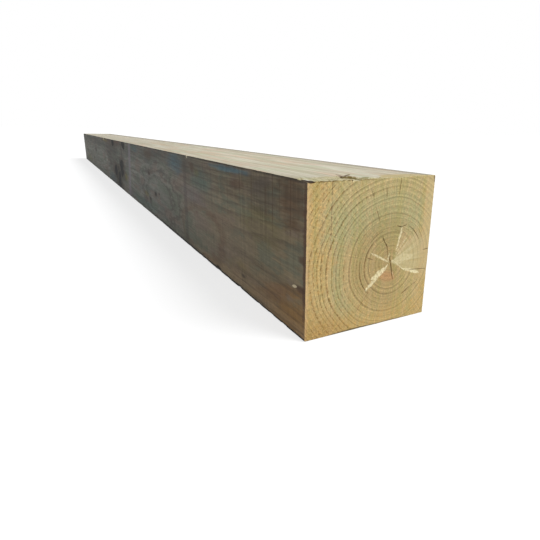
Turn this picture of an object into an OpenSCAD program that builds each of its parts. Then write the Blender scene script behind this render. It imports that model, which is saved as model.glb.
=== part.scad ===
// Treated timber beam: one sawn length of softwood with its heart boxed in the section.
// X runs along the beam, Y across it and Z up. The origin lies on the underside, below the
// middle of the beam. The end at +X is the one that has checked, shaken and chipped.

/* [Section] */
// Width of the sawn section
beam_w = 200; // [160:5:300]
// Depth of the sawn section
beam_h = 200; // [160:5:300]
// Radius of the four worn long arrises
arris_r = 1.5; // [0.5:0.5:5]

/* [Length] */
// Length that the beam is cut to
beam_l = 3600; // [1200:100:6000]

/* [Heart] */
// Distance of the pith from the middle of the width, towards +Y
pith_y = 31; // [-30:1:40]
// Height of the pith above the underside
pith_z = 86; // [60:1:110]
// Widest opening of the cracks through the pith
pith_gap = 1.4; // [0.6:0.1:3]
// Depth of the cracks through the pith, behind the end
pith_depth = 60; // [20:5:200]

/* [Ring shake] */
// Radius of the growth ring that has parted
shake_r = 52; // [35:1:60]
// Width of the gap that the parted ring leaves
shake_gap = 0.7; // [0.4:0.1:2]
// Depth of the parted ring, behind the end
shake_depth = 15; // [5:1:60]

/* [Radial checks] */
// Widest opening of a drying check
check_gap = 0.8; // [0.3:0.1:1.5]
// Depth of the drying checks, behind the end
check_depth = 12; // [5:1:60]
// Length of the check that opens on the top face
top_check = 26; // [10:1:60]
// Length of the upper check that opens on the +Y face
side_check = 12; // [5:1:40]
// Length of the lower check that opens on the +Y face
side_check_low = 34; // [5:1:50]

/* [Torn edge] */
// Width of the splinter torn out of the end's top edge
splinter_w = 10; // [6:1:40]
// Length that the splinter ran back along the top face
splinter_l = 36; // [15:1:120]
// Depth of the splinter at the end face
splinter_d = 3; // [1:0.5:8]
// Distance of the splinter from the -Y face
splinter_from_side = 64; // [20:1:80]
// Width of the break at the end's top -Y corner
corner_w = 9; // [3:1:15]
// Length of the break along the beam
corner_l = 16; // [10:1:60]
// Depth of the break below the top face
corner_d = 2; // [1:0.5:6]

/* [Wane] */
// Distance of the larger scoop in the lower -Y arris from the checked end
wane_from_end = 322; // [200:1:600]
// Pitch from the larger scoop to the smaller one, nearer the end
wane_pitch = 104; // [40:1:150]
// Length of the larger scoop along the arris
wane_l = 30; // [10:1:40]
// Depth of the larger scoop, across the arris
wane_d = 3; // [2:0.5:8]
// Length of the smaller scoop along the arris
wane_small_l = 26; // [8:1:30]
// Depth of the smaller scoop, across the arris
wane_small_d = 2.5; // [1:0.5:6]

/* [Hidden] */
$fn = 96;
end_x = beam_l / 2;
side_y = beam_w / 2;
// How far a cutting shape stands out past the face that it opens
over = 5;
// Cracks through the pith: points across and up from the pith
pith_cracks = [
    [[-2, 11], [1, 0], [3, -10], [7, -25]],
    [[-6, 15], [-7, 23], [-12, 30], [-16, 38]],
];
// Stretches of the parted ring: first and last angle, counter-clockwise from +Y, and how far
// each one lies outside the ring's radius
shake_arcs = [[31, 58, 3.5], [110, 138, -4.5], [172, 226, -0.5]];
// Short cracks across the grain near the parted ring: points across and up from the pith
short_cracks = [
    [[7, 50], [16, 47.5], [25, 50.5]],
    [[24.5, -49], [31, -44.5], [37.5, -40.8]],
];
// Drying checks inside the section: angle, and first and last distance from the pith
inner_checks = [[98, 88, 102], [111, 61, 85], [111, 95, 107]];
// Drying checks that open on the top or +Y face: mouth across and up from the pith, angle, length
open_checks = [
    [[9, beam_h - pith_z], 84.5, top_check],
    [[side_y - pith_y, 12], 5, side_check],
    [[side_y - pith_y, -17.5], -4, side_check_low],
];

// Section of the beam with its four arrises worn round
module section() {
    flat_w = beam_w - 2 * arris_r;
    flat_h = beam_h - 2 * arris_r;
    translate([-flat_w / 2, 0]) square([flat_w, beam_h]);
    translate([-side_y, arris_r]) square([beam_w, flat_h]);
    for (side = [-1, 1])
        for (level = [arris_r, beam_h - arris_r])
            translate([side * flat_w / 2, level]) circle(r = arris_r);
}

// Turns a flat drawing across and up the section into a solid along the beam
module along_beam(from, length) {
    translate([from, 0, 0])
        rotate([90, 0, 90])
            linear_extrude(length) children();
}

// Cuts a drawing that is centred on the pith into the end, to a depth
module into_end(depth) {
    along_beam(end_x - depth, depth + over)
        translate([pith_y, pith_z]) children();
}

// Outline of a crack along a line of points, open in its middle and closed at both ends
module crack(points, gap) {
    last = len(points) - 1;
    run = points[last] - points[0];
    aside = [-run[1], run[0]] / norm(run) * gap / 2;
    left = [for (i = [1 : last - 1]) points[i] + aside];
    right = [for (i = [last - 1 : -1 : 1]) points[i] - aside];
    polygon(concat([points[0]], left, [points[last]], right));
}

// Outline of a drying check inside the section
module inner_check(angle, from, to) {
    middle = (from + to) / 2;
    rotate(angle)
        polygon([[from, 0], [middle, -check_gap / 2], [to, 0], [middle, check_gap / 2]]);
}

// Outline of a drying check that widens to its mouth in a face
module open_check(mouth, angle, length) {
    half = check_gap / 2;
    translate(mouth)
        rotate(angle)
            polygon([[-length, 0], [0, -half], [over, -half], [over, half], [0, half]]);
}

// Gap that one stretch of the parted ring leaves behind the end
module shake_arc(first, last, radius) {
    translate([end_x - shake_depth, pith_y, pith_z])
        rotate([90, 0, 90])
            rotate([0, 0, first])
                rotate_extrude(angle = last - first)
                    translate([radius - shake_gap / 2, 0])
                        square([shake_gap, shake_depth + over]);
}

// Wedge of wood that has torn out of the end's top edge, from y_from and w wide
module torn_wedge(y_from, w, length, depth) {
    translate([end_x, y_from + w, beam_h])
        rotate([90, 0, 0])
            linear_extrude(w)
                polygon([[over, over], [over, -depth], [0, -depth], [-length, 0], [-length, over]]);
}

// Scoop of missing wood in the lower -Y arris, where the edge of the log ran out
module wane_scoop(from_end, length, depth) {
    radius = (length * length / 4 + depth * depth) / (2 * depth);
    translate([end_x - from_end, -side_y, 0])
        rotate([45, 0, 0])
            translate([0, depth - radius, 0])
                cylinder(h = 4 * depth, r = radius, center = true);
}

// Every check, crack and shake in the end
module end_openings() {
    for (points = pith_cracks)
        into_end(pith_depth) crack(points, pith_gap);
    for (c = inner_checks)
        into_end(check_depth) inner_check(c[0], c[1], c[2]);
    for (c = open_checks)
        into_end(check_depth) open_check(c[0], c[1], c[2]);
    for (points = short_cracks)
        into_end(check_depth) crack(points, check_gap);
    for (arc = shake_arcs)
        shake_arc(arc[0], arc[1], shake_r + arc[2]);
}

// Every break in the edges
module edge_damage() {
    torn_wedge(splinter_from_side - side_y, splinter_w, splinter_l, splinter_d);
    torn_wedge(-side_y - over, corner_w + over, corner_l, corner_d);
    wane_scoop(wane_from_end, wane_l, wane_d);
    wane_scoop(wane_from_end - wane_pitch, wane_small_l, wane_small_d);
}

module beam() {
    color([0.76, 0.69, 0.47])
        difference() {
            along_beam(-end_x, beam_l) section();
            end_openings();
            edge_damage();
        }
}

beam();
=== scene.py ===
import math

import bmesh
import bpy
import numpy as np
from mathutils import Matrix, Vector


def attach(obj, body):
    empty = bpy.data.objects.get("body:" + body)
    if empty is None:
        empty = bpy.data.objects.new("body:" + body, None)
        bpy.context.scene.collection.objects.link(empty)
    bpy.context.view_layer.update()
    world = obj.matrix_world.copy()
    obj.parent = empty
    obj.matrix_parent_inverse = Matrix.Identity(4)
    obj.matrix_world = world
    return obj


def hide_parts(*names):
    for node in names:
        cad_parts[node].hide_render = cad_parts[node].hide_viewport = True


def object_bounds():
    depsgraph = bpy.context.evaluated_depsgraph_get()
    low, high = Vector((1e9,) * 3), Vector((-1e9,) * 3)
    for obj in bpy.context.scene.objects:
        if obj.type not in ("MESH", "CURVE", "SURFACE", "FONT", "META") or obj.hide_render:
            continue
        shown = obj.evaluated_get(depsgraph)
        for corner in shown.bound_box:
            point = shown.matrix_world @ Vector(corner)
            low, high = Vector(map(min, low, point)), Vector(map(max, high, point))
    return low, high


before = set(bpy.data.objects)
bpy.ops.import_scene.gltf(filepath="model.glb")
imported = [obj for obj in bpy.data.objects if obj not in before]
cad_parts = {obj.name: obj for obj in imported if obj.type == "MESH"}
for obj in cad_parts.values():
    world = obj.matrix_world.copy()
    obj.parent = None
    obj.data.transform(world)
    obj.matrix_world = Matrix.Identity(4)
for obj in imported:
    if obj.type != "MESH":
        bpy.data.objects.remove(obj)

cad_low, cad_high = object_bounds()

# ---------------------------------------------------------------- sizes, in metres
MM = 0.001
END_X = cad_high.x
BACK_X = cad_low.x
HALF_W = cad_high.y
TOP_Z = cad_high.z
LENGTH = END_X - BACK_X

# The heart of the log: where the pith meets the checked end, and how it wanders behind it
PITH_Y = 31 * MM
PITH_Z = 86 * MM
SWAY_Y = 6 * MM
SWAY_Z = -16 * MM
SWAY_RATE_Y = 4.6
SWAY_RATE_Z = 2.3
RING_STEP = 6.5 * MM
RING_TAPER = -9 * MM
RING_START = 0.25
# Rings lie closer together in some years than in others
RING_SWING = 1.3 * MM
RING_SWING_RATE = 2 * math.pi / 0.029
# Waves that bend the rings: rates across and up, and size
RING_WAVES = [(70, 40, 0.6 * MM), (55, -95, 0.5 * MM)]
# Shares of a ring where its late wood darkens, and where it stops
LATE_START = (0.55, 0.9)
LATE_STOP = (0.94, 1.0)

ARRIS_R = 1.5 * MM
END_ARRIS_R = 0.5 * MM

# Depths of the relief, and the size of its lumps along, across and up: soft early wood and
# grit on the ends; fibres, saw's waves and hollows on the long faces
RING_RELIEF = 0.18 * MM
GRIT_RELIEF = 0.12 * MM
FIBRE_RELIEF = 0.15 * MM
SAW_RELIEF = 0.12 * MM
HOLLOW_RELIEF = 0.3 * MM
GRIT_LUMP = 3.5 * MM
FIBRE_LUMP = np.array([160, 6, 6]) * MM
SAW_LUMP = 38 * MM
HOLLOW_LUMP = np.array([500, 90, 90]) * MM
# Lumps of the arrises' wear and of the knocks in them, and the share of the radius each can add
WEAR_LUMP = 35 * MM
KNOCK_LUMP = 11 * MM
WEAR_SHARE = 0.5
KNOCK_SHARE = 0.9

# Cracks and checks in the end, in the places that part.scad gives them, in millimetres from the pith
PITH_CRACKS = [
    [(-2, 11), (1, 0), (3, -10), (7, -25)],
    [(-6, 15), (-7, 23), (-12, 30), (-16, 38)],
]
PITH_GAP = 1.4
PITH_DEPTH = 60
# Parted ring: first and last angle, and radius
SHAKE_ARCS = [(31, 58, 55.5), (110, 138, 47.5), (172, 226, 51.5)]
SHAKE_GAP = 0.7
SHAKE_DEPTH = 15
SHORT_CRACKS = [
    [(7, 50), (16, 47.5), (25, 50.5)],
    [(24.5, -49), (31, -44.5), (37.5, -40.8)],
]
CHECK_GAP = 0.7
CHECK_DEPTH = 12
# Checks inside the section: angle, and first and last distance
INNER_CHECKS = [(98, 88, 102), (111, 61, 85), (111, 95, 107)]
# Checks that open on the top or +Y face: mouth, angle and length
TOP_REACH = (TOP_Z - PITH_Z) / MM
SIDE_REACH = (HALF_W - PITH_Y) / MM
OPEN_CHECKS = [(9, TOP_REACH, 84.5, 26), (SIDE_REACH, 12, 5, 12), (SIDE_REACH, -17.5, -4, 34)]

# Torn top edge of the end: where across the beam, how far back and how deep, in millimetres
SPLINTER = {"low": -36, "high": -26, "back": 36, "depth": 3.0}
CORNER = {"low": -102, "high": -91, "back": 16, "depth": 2.0}
# Torn skin of the top: how far it reaches behind the end, and where across the beam that fades
TORN_WIDE = 30
TORN_WIDE_FADE = (-34, -8)
TORN_NARROW = 5
TORN_NARROW_FADE = (25, 60)
TEAR_BLEND = 10 * MM
# Wane: how far behind the end, length and depth, in millimetres
WANE = [(322, 30, 3.0), (218, 26, 2.5)]
WANE_ROUGH = 0.10

TABLE_SIZE = 4096
HASH_RATES = np.array([73856093, 19349663, 83492791])
SEED_RATE = 2654435
rng = np.random.default_rng(7)
NOISE_TABLE = rng.random(TABLE_SIZE)


def smooth(value, low, high):
    t = np.clip((value - low) / (high - low), 0.0, 1.0)
    return t * t * (3 - 2 * t)


def noise(points, seed=0):
    """Smooth random values from 0 to 1 at points measured in units of one lump."""
    cell = np.floor(points).astype(np.int64)
    t = points - cell
    t = t * t * (3 - 2 * t)
    total = np.zeros(len(points))
    for corner in range(8):
        bit = np.array([corner & 1, corner >> 1 & 1, corner >> 2 & 1])
        key = np.bitwise_xor.reduce((cell + bit) * HASH_RATES, axis=1) ^ (seed * SEED_RATE)
        weight = np.prod(np.where(bit, t, 1 - t), axis=1)
        total += weight * NOISE_TABLE[key % TABLE_SIZE]
    return total


# ---------------------------------------------------------------- the beam's skin
EDGE_PULL = 0.35
# Where the rings of points lie: distances behind the checked end and before the far one in mm.
# Between them the steps grow as far as MID_LENGTH, with half as many points in a ring, and are
# FAR_STEP beyond it, with a quarter as many.
NEAR_RING = 640
NEAR_ROWS = [0, 0.4, 1.0, 2.0, 3.5, 5.5, 8, *np.arange(10.5, 60, 2.5)]
FAR_ROWS = [40, 30, 21, 13, 7, 3, 1, 0.4, 0]
MID_START = 62 * MM
MID_LENGTH = 1.25
MID_STEPS = (4.5 * MM, 16 * MM)
MID_GROWTH = 1.06
FAR_FINE = 0.055
FAR_STEP = 24 * MM


def stops(count):
    """Shares of a face's width from 0 to 1, closer together near both arrises."""
    t = np.linspace(0, 1, count + 1)
    return t - EDGE_PULL / (2 * math.pi) * np.sin(2 * math.pi * t)


def perimeter(x, count):
    """Points round the section at one station, from the lower -Y arris towards +Y."""
    t = stops(count // 4)[:-1]
    y = HALF_W * (2 * t - 1)
    z = TOP_Z * t
    sides = [(y, 0 * t), (0 * t + HALF_W, z), (-y, 0 * t + TOP_Z), (0 * t - HALF_W, TOP_Z - z)]
    across = np.concatenate([s[0] for s in sides])
    up = np.concatenate([s[1] for s in sides])
    return np.column_stack([np.full(count, x), across, up])


def stations():
    """Where the rings of points lie: distance behind the end, and points in the ring."""
    rows = [(d * MM, NEAR_RING) for d in NEAR_ROWS]
    d, step = MID_START, MID_STEPS[0]
    while d < MID_LENGTH:
        rows.append((d, NEAR_RING // 2))
        d += step
        step = min(step * MID_GROWTH, MID_STEPS[1])
    while d < LENGTH - FAR_FINE:
        rows.append((d, NEAR_RING // 4))
        d += FAR_STEP
    return rows + [(LENGTH - back * MM, NEAR_RING // 2) for back in FAR_ROWS]


def band(a, b, first_a, first_b):
    """Faces between two rings of a and b points, outward, for equal rings or halved ones."""
    faces = []
    for k in range(min(a, b)):
        n = (k + 1) % min(a, b)
        if a == b:
            faces.append((first_a + k, first_b + k, first_b + n, first_a + n))
        elif a > b:
            a0, a1, a2 = first_a + 2 * k, first_a + 2 * k + 1, first_a + 2 * n
            faces += [(a0, first_b + k, a1), (a1, first_b + k, first_b + n), (a1, first_b + n, a2)]
        else:
            b0, b1, b2 = first_b + 2 * k, first_b + 2 * k + 1, first_b + 2 * n
            faces += [(first_a + k, b0, b1), (first_a + k, b1, first_a + n), (first_a + n, b1, b2)]
    return faces


def cap(x, count, first_ring, first_new, outward):
    """Grid that closes an end on its ring: its new points and its faces."""
    m = count // 4
    t = stops(m)
    index = np.full((m + 1, m + 1), -1)
    for k in range(m):
        index[k, 0] = first_ring + k
        index[m, k] = first_ring + m + k
        index[m - k, m] = first_ring + 2 * m + k
        index[0, m - k] = first_ring + 3 * m + k
    points = []
    for i in range(1, m):
        for j in range(1, m):
            index[i, j] = first_new + len(points)
            points.append((x, HALF_W * (2 * t[i] - 1), TOP_Z * t[j]))
    faces = []
    for i in range(m):
        for j in range(m):
            quad = (index[i, j], index[i + 1, j], index[i + 1, j + 1], index[i, j + 1])
            faces.append(quad if outward else quad[::-1])
    return np.array(points), faces


def box_skin():
    """Closed skin of the sharp box, finest at the checked end."""
    points, faces = [], []
    rows = stations()
    first = [0]
    for d, count in rows:
        points.append(perimeter(END_X - d, count))
        first.append(first[-1] + count)
    for i in range(len(rows) - 1):
        faces += band(rows[i][1], rows[i + 1][1], first[i], first[i + 1])
    new, grid = cap(END_X, rows[0][1], first[0], first[-1], True)
    points.append(new)
    faces += grid
    new, grid = cap(BACK_X, rows[-1][1], first[-2], first[-1] + len(new), False)
    points.append(new)
    faces += grid
    return np.concatenate(points), [tuple(int(v) for v in f) for f in faces]


def rounded(p):
    """Rounds the box's arrises with uneven wear. Gives the points and their normals."""
    arris = np.sign(np.column_stack([p[:, 1], p[:, 2] - TOP_Z / 2]))
    wear = noise(np.column_stack([p[:, 0] / WEAR_LUMP, arris]), 1)
    knocks = smooth(noise(np.column_stack([p[:, 0] / KNOCK_LUMP, arris]), 2), 0.7, 0.95)
    worn = ARRIS_R * (1 - WEAR_SHARE + WEAR_SHARE * wear + KNOCK_SHARE * knocks)
    radii = np.column_stack([0 * worn + END_ARRIS_R, worn, worn])
    low = np.array([BACK_X, -HALF_W, 0]) + radii
    high = np.array([END_X, HALF_W, TOP_Z]) - radii
    core = np.clip(p, low, high)
    v = (p - core) / radii
    v /= np.linalg.norm(v, axis=1)[:, None]
    normal = v / radii
    normal /= np.linalg.norm(normal, axis=1)[:, None]
    return core + v * radii, normal


def ring_coordinate(p):
    """Growth rings counted out from the pith, as the material counts them too."""
    d = END_X - p[:, 0]
    u = p[:, 1] - PITH_Y - SWAY_Y * np.sin(SWAY_RATE_Y * d)
    w = p[:, 2] - PITH_Z - SWAY_Z * np.sin(SWAY_RATE_Z * d)
    r = np.hypot(u, w) + RING_TAPER * d
    for rate_u, rate_w, size in RING_WAVES:
        r = r + size * np.sin(rate_u * u + rate_w * w)
    return (r + RING_SWING * np.sin(r * RING_SWING_RATE)) / RING_STEP + RING_START


def relief(p, normal):
    """How far the surface lies below the box's faces, in metres."""
    end = smooth(np.abs(normal[:, 0]), 0.5, 0.9)
    part = ring_coordinate(p) % 1.0
    late = smooth(part, *LATE_START) * (1 - smooth(part, *LATE_STOP))
    grit = noise(p / GRIT_LUMP, 3)
    end_depth = RING_RELIEF * (1 - late) + GRIT_RELIEF * grit
    fibres = noise(p / FIBRE_LUMP, 4)
    washboard = noise(np.column_stack([p[:, 0] / SAW_LUMP, 0.4 * normal[:, 1:]]), 5)
    hollows = noise(p / HOLLOW_LUMP, 6)
    side_depth = FIBRE_RELIEF * fibres + SAW_RELIEF * washboard + HOLLOW_RELIEF * hollows
    return end * end_depth + (1 - end) * side_depth


def torn_reach(y, ragged):
    """How far the top's skin has torn away behind the end, across the beam, in millimetres."""
    wide = TORN_WIDE * (1 - smooth(y, *TORN_WIDE_FADE))
    narrow = TORN_NARROW * (1 - smooth(y, *TORN_NARROW_FADE))
    return (wide + narrow) * (0.55 + 0.9 * ragged)


def tear(p):
    """Lowers the top behind the end where its fibres have torn out."""
    d = (END_X - p[:, 0]) / MM
    below = TOP_Z - p[:, 2]
    y = p[:, 1] / MM
    flat = np.zeros_like(y)
    ragged = noise(np.column_stack([y / 2.2, d / 30, flat]), 7)
    rough = noise(np.column_stack([y / 1.5, d / 9, flat]), 8)
    reach = torn_reach(y, ragged)
    depth = (0.5 + 1.0 * rough) * (1 - smooth(d, 0.8 * reach, reach + 0.5))
    for place in (SPLINTER, CORNER):
        low = place["low"] + 1.5 * (ragged - 0.5)
        inside = smooth(y, low - 0.6, low + 0.6) * (1 - smooth(y, place["high"] - 0.6, place["high"] + 0.6))
        wedge = place["depth"] * np.clip(1 - d / place["back"], 0, 1) ** 0.8
        depth = np.maximum(depth, inside * wedge)
    p[:, 2] -= depth * MM * np.clip(1 - below / TEAR_BLEND, 0, 1)
    return p


# ---------------------------------------------------------------- cracks, checks and wane
def refined(points, count, wander, seed):
    """A line of points drawn finer, with a little wander to each side, in metres from the pith."""
    points = np.array(points, float)
    span = np.concatenate([[0], np.cumsum(np.hypot(*np.diff(points, axis=0).T))])
    s = np.linspace(0, span[-1], count)
    line = np.column_stack([np.interp(s, span, points[:, 0]), np.interp(s, span, points[:, 1])])
    flat = np.zeros(count)
    for axis in (0, 1):
        line[:, axis] += wander * 2 * (noise(np.column_stack([s / 2.6, flat, flat + axis]), seed) - 0.5)
    return line * MM


# A crack's wedge: places from the end in mm, minus for behind it, and the share of the width
# there; then shares of its depth behind the end, and the share of the width there
BLADE_MOUTH = [(3.0, 1.0), (-0.4, 1.0)]
BLADE_FLOOR = [(0.3, 0.6), (1.0, 0.1)]


def blade(line, gap, depth, seed, open_end=False):
    """Thin closed wedge that follows a line across the end and narrows inwards."""
    n = len(line)
    run = np.gradient(line, axis=0)
    run /= np.linalg.norm(run, axis=1)[:, None]
    aside = np.column_stack([-run[:, 1], run[:, 0]])
    s = np.linspace(0, 1, n)
    taper = np.minimum(1, 3.2 * s) if open_end else np.sin(math.pi * s) ** 0.6
    flat = np.zeros(n)
    uneven = 0.7 + 0.6 * noise(np.column_stack([s * 9, flat, flat]), seed + 40)
    half = gap * MM / 2 * np.maximum(taper * uneven, 0.04)
    levels = BLADE_MOUTH + [(-part * depth, width) for part, width in BLADE_FLOOR]
    points = []
    for x, share in levels:
        for sign in (1, -1):
            yz = line + sign * share * half[:, None] * aside
            points += [(END_X + x * MM, PITH_Y + y, PITH_Z + z) for y, z in yz]
    faces = []
    last = 2 * n * (len(levels) - 1)
    for i in range(n - 1):
        faces.append((i, i + 1, n + i + 1, n + i))
        faces.append((last + i, last + i + 1, last + n + i + 1, last + n + i))
    for level in range(len(levels) - 1):
        a, b = 2 * n * level, 2 * n * (level + 1)
        for chain in (0, n):
            for i in range(n - 1):
                faces.append((a + chain + i, a + chain + i + 1, b + chain + i + 1, b + chain + i))
        for i in (0, n - 1):
            faces.append((a + i, a + n + i, b + n + i, b + i))
    return np.array(points), faces


def arc_line(first, last, radius, seed):
    angles = np.radians(np.linspace(first, last, max(8, int((last - first) / 2))))
    return refined([(radius * math.cos(a), radius * math.sin(a)) for a in angles], 30, 0.3, seed)


def radial_line(across, up, angle, first, last, seed):
    """Straight line at an angle through one point, between two distances from it."""
    c, s = math.cos(math.radians(angle)), math.sin(math.radians(angle))
    ends = [(across + reach * c, up + reach * s) for reach in (first, last)]
    return refined(ends, 18, 0.3, seed)


def scoop(from_end, length, depth, seed):
    """Rough lump that takes the wane out of the lower -Y arris."""
    rings, sides = 14, 20
    radius = (length ** 2 / 4 + depth ** 2) / (2 * depth)
    points = []
    for i in range(rings + 1):
        a = math.pi * i / rings
        for k in range(sides):
            b = 2 * math.pi * k / sides
            points.append([math.sin(a) * math.cos(b), math.sin(a) * math.sin(b), math.cos(a)])
    points = np.array(points)
    rough = 1 + WANE_ROUGH * (noise(points * 5, seed) - 0.5)
    points = points * rough[:, None] * radius
    points[:, 2] *= 0.8
    outward = np.array([0, -1, -1]) / math.sqrt(2)
    across = np.array([0, -1, 1]) / math.sqrt(2)
    centre = np.array([END_X / MM - from_end, -HALF_W / MM, 0]) + outward * (radius - depth)
    placed = centre + points[:, :1] * [1, 0, 0] + points[:, 1:2] * outward + points[:, 2:] * across
    faces = []
    for i in range(rings):
        for k in range(sides):
            n = (k + 1) % sides
            faces.append((i * sides + k, i * sides + n, (i + 1) * sides + n, (i + 1) * sides + k))
    return placed * MM, faces


def openings():
    """Every crack, check and scoop, as closed solids that don't touch."""
    parts = []
    for i, points in enumerate(PITH_CRACKS):
        parts.append(blade(refined(points, 30, 0.5, i), PITH_GAP, PITH_DEPTH, i))
    for i, (first, last, radius) in enumerate(SHAKE_ARCS):
        parts.append(blade(arc_line(first, last, radius, 10 + i), SHAKE_GAP, SHAKE_DEPTH, 10 + i))
    for i, points in enumerate(SHORT_CRACKS):
        parts.append(blade(refined(points, 20, 0.3, 15 + i), CHECK_GAP, CHECK_DEPTH, 15 + i))
    for i, (angle, first, last) in enumerate(INNER_CHECKS):
        line = radial_line(0, 0, angle, first, last, 20 + i)
        parts.append(blade(line, CHECK_GAP, CHECK_DEPTH, 20 + i))
    for i, (across, up, angle, length) in enumerate(OPEN_CHECKS):
        line = radial_line(across, up, angle, -length, 4, 30 + i)
        parts.append(blade(line, CHECK_GAP, CHECK_DEPTH, 30 + i, True))
    for i, (from_end, length, depth) in enumerate(WANE):
        parts.append(scoop(from_end, length, depth, 50 + i))
    return parts


def add_object(name, data):
    made = bpy.data.objects.new(name, data)
    bpy.context.scene.collection.objects.link(made)
    return made


def mesh_object(name, points, faces):
    mesh = bpy.data.meshes.new(name)
    mesh.from_pydata([tuple(p) for p in points], [], faces)
    mesh.validate()
    return add_object(name, mesh)


def cutter_object():
    points, faces = [], []
    for part_points, part_faces in openings():
        start = sum(len(p) for p in points)
        points.append(part_points)
        faces += [tuple(int(start + v) for v in f) for f in part_faces]
    made = mesh_object("openings", np.concatenate(points), faces)
    work = bmesh.new()
    work.from_mesh(made.data)
    bmesh.ops.remove_doubles(work, verts=work.verts, dist=1e-7)
    bmesh.ops.recalc_face_normals(work, faces=work.faces)
    work.to_mesh(made.data)
    work.free()
    return made


def cut(beam, cutter):
    modifier = beam.modifiers.new("openings", "BOOLEAN")
    modifier.operation = "DIFFERENCE"
    modifier.object = cutter
    modifier.solver = "MANIFOLD"
    graph = bpy.context.evaluated_depsgraph_get()
    mesh = bpy.data.meshes.new_from_object(beam.evaluated_get(graph))
    beam.modifiers.clear()
    beam.data = mesh
    bpy.data.objects.remove(cutter)


# ---------------------------------------------------------------- the map for baking
MAP_PAD = 0.006
MAP_CROWD = 0.8
MAP_STRIP = 0.122
MAP_LAST_LOW = 0.991
MAP_LAST_HEIGHT = 0.006
# Deeper than these below a face, a point lies inside a crack and takes the map's last strip
MAP_SHALLOW = 4.5 * MM
MAP_END_SKIN = 0.6 * MM


def read(items, name, width=1, kind=float):
    """One value of every item of a mesh, as an array."""
    values = np.empty(len(items) * width, kind)
    items.foreach_get(name, values)
    return values if width == 1 else values.reshape(-1, width)


def bake_map(mesh):
    """Lays the ends out large and the four long faces as strips, most closely at the end."""
    p = read(mesh.vertices, "co", 3)[read(mesh.loops, "vertex_index", kind=int)]
    sizes = read(mesh.polygons, "loop_total", kind=int)
    normals = np.repeat(read(mesh.polygons, "normal", 3), sizes, axis=0)
    centres = np.repeat(read(mesh.polygons, "center", 3), sizes, axis=0)
    across = (p[:, 1] + HALF_W) / (2 * HALF_W)
    up = p[:, 2] / TOP_Z
    behind = (END_X - p[:, 0]) / LENGTH
    along = behind * (1 + MAP_CROWD) / (1 + MAP_CROWD * behind)
    depth = np.minimum.reduce([
        END_X - centres[:, 0], centres[:, 0] - BACK_X, HALF_W - np.abs(centres[:, 1]),
        centres[:, 2], TOP_Z - centres[:, 2]])
    outward = [sign * normals[:, axis] for axis in range(3) for sign in (1, -1)]
    side = np.argmax(np.column_stack(outward), axis=1)
    inner = (depth > MAP_SHALLOW) | ((END_X - centres[:, 0] > MAP_END_SKIN) & (side == 0))
    u, v = np.empty(len(p)), np.empty(len(p))
    spots = [(0.0, 0.0, 0.5, 0.5), (0.5, 0.0, 0.5, 0.5)]
    spots += [(0.0, 0.5 + MAP_STRIP * i, 1.0, MAP_STRIP) for i in range(4)]
    first_axis = [across, 1 - across, along, along, along, along]
    second_axis = [up, up, up, up, across, across]
    for i, (left, low, width, height) in enumerate(spots):
        pick = side == i
        u[pick] = left + MAP_PAD + (width - 2 * MAP_PAD) * first_axis[i][pick]
        v[pick] = low + MAP_PAD / 2 + (height - MAP_PAD) * second_axis[i][pick]
    u[inner] = across[inner]
    v[inner] = MAP_LAST_LOW + MAP_LAST_HEIGHT * up[inner]
    layer = mesh.uv_layers.new(name="OFBake")
    layer.data.foreach_set("uv", np.column_stack([u, v]).ravel())


# ---------------------------------------------------------------- material graph
def mm(*values):
    """Millimetres as metres."""
    return [value * MM for value in values]


def linear(colour):
    """Blender's values for a colour's usual 0 to 255 ones. A socket stays as it is."""
    if isinstance(colour, bpy.types.NodeSocket):
        return colour
    shares = [value / 255 for value in colour]
    return [v / 12.92 if v <= 0.04045 else ((v + 0.055) / 1.055) ** 2.4 for v in shares] + [1.0]


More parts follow.
